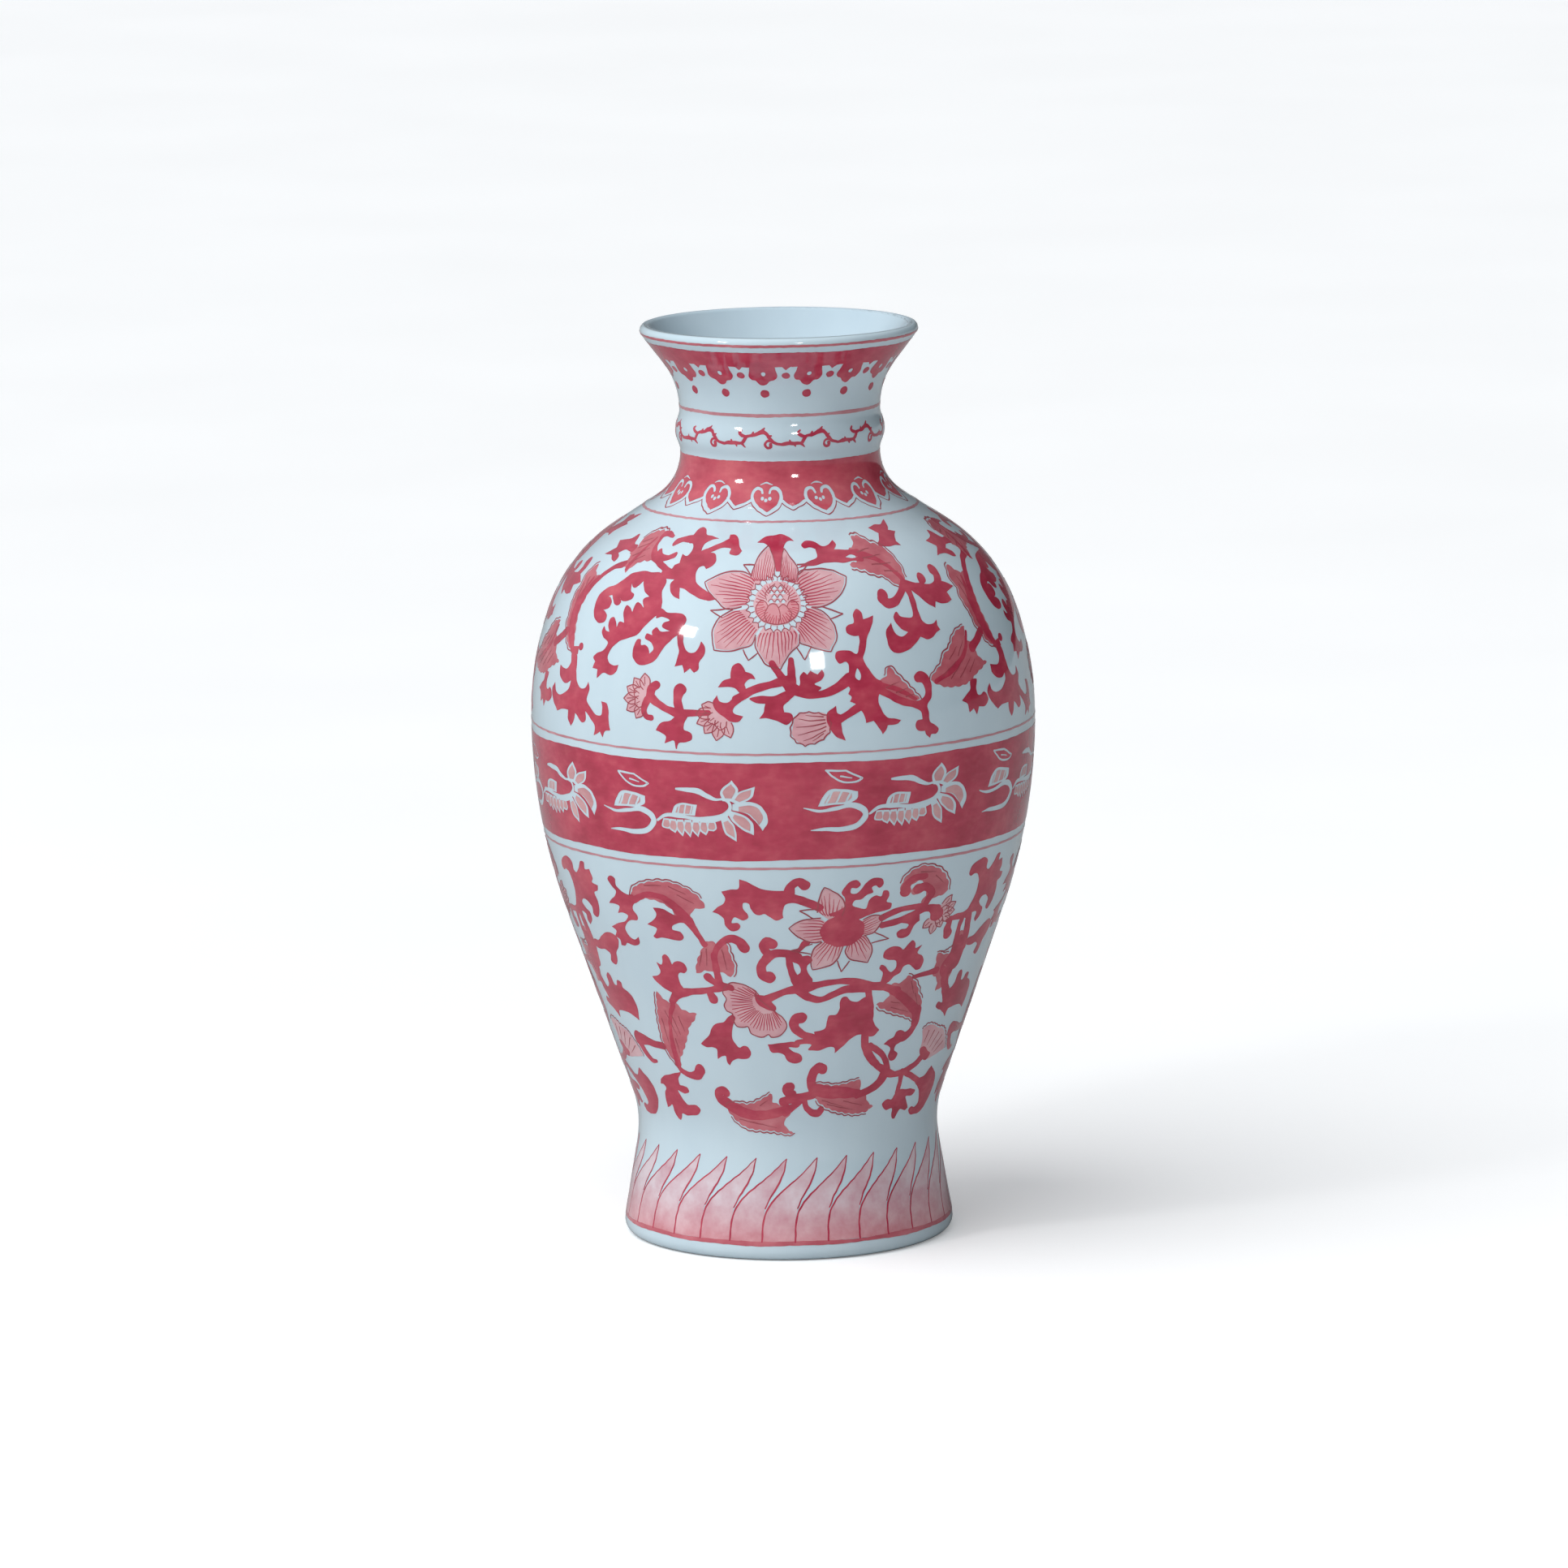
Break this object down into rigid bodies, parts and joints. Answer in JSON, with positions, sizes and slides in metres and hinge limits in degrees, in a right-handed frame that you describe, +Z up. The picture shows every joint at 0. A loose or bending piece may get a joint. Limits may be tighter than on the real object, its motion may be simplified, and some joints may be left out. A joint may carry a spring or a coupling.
{
  "type": "vase",
  "caption": "Baluster vase of painted and glazed porcelain: splayed foot, swelling body, ringed neck and flared mouth.",
  "frame": {"origin": "centre of the face that the foot ring rests on", "axes": "+Z up along the axis that the vase is turned about, -Y towards the viewer"},
  "size_m": [0.2232, 0.2232, 0.406],
  "materials": {
    "bare_porcelain": "matt unglazed white porcelain",
    "slip": "matt",
    "outer_glaze": "glossy, pale bluish white",
    "inner_glaze": "glossy, pale bluish white",
    "red_enamel": "glossy rose-red enamel, brushed by hand",
    "pink_enamel": "glossy thin pink wash",
    "dark_enamel": "glossy dark red outlines"
  },
  "bodies": {
    "root": {"foot_section": "bare_porcelain", "lower_body_section": "bare_porcelain", "shoulder_section": "bare_porcelain", "neck_section": "bare_porcelain", "waist_slip_seam": "slip", "belly_slip_seam": "slip", "neck_slip_seam": "slip", "outer_glaze": "outer_glaze", "inner_glaze": "inner_glaze", "base_glaze": "inner_glaze", "painted_foot_line": "red_enamel", "painted_belly_line_lower": "red_enamel", "painted_belly_band": "red_enamel", "painted_belly_line_upper": "red_enamel", "painted_shoulder_line": "red_enamel", "painted_collar_band": "red_enamel", "painted_neck_line": "red_enamel", "painted_mouth_band": "red_enamel", "painted_rim_line": "red_enamel"}
  },
  "joints": []
}
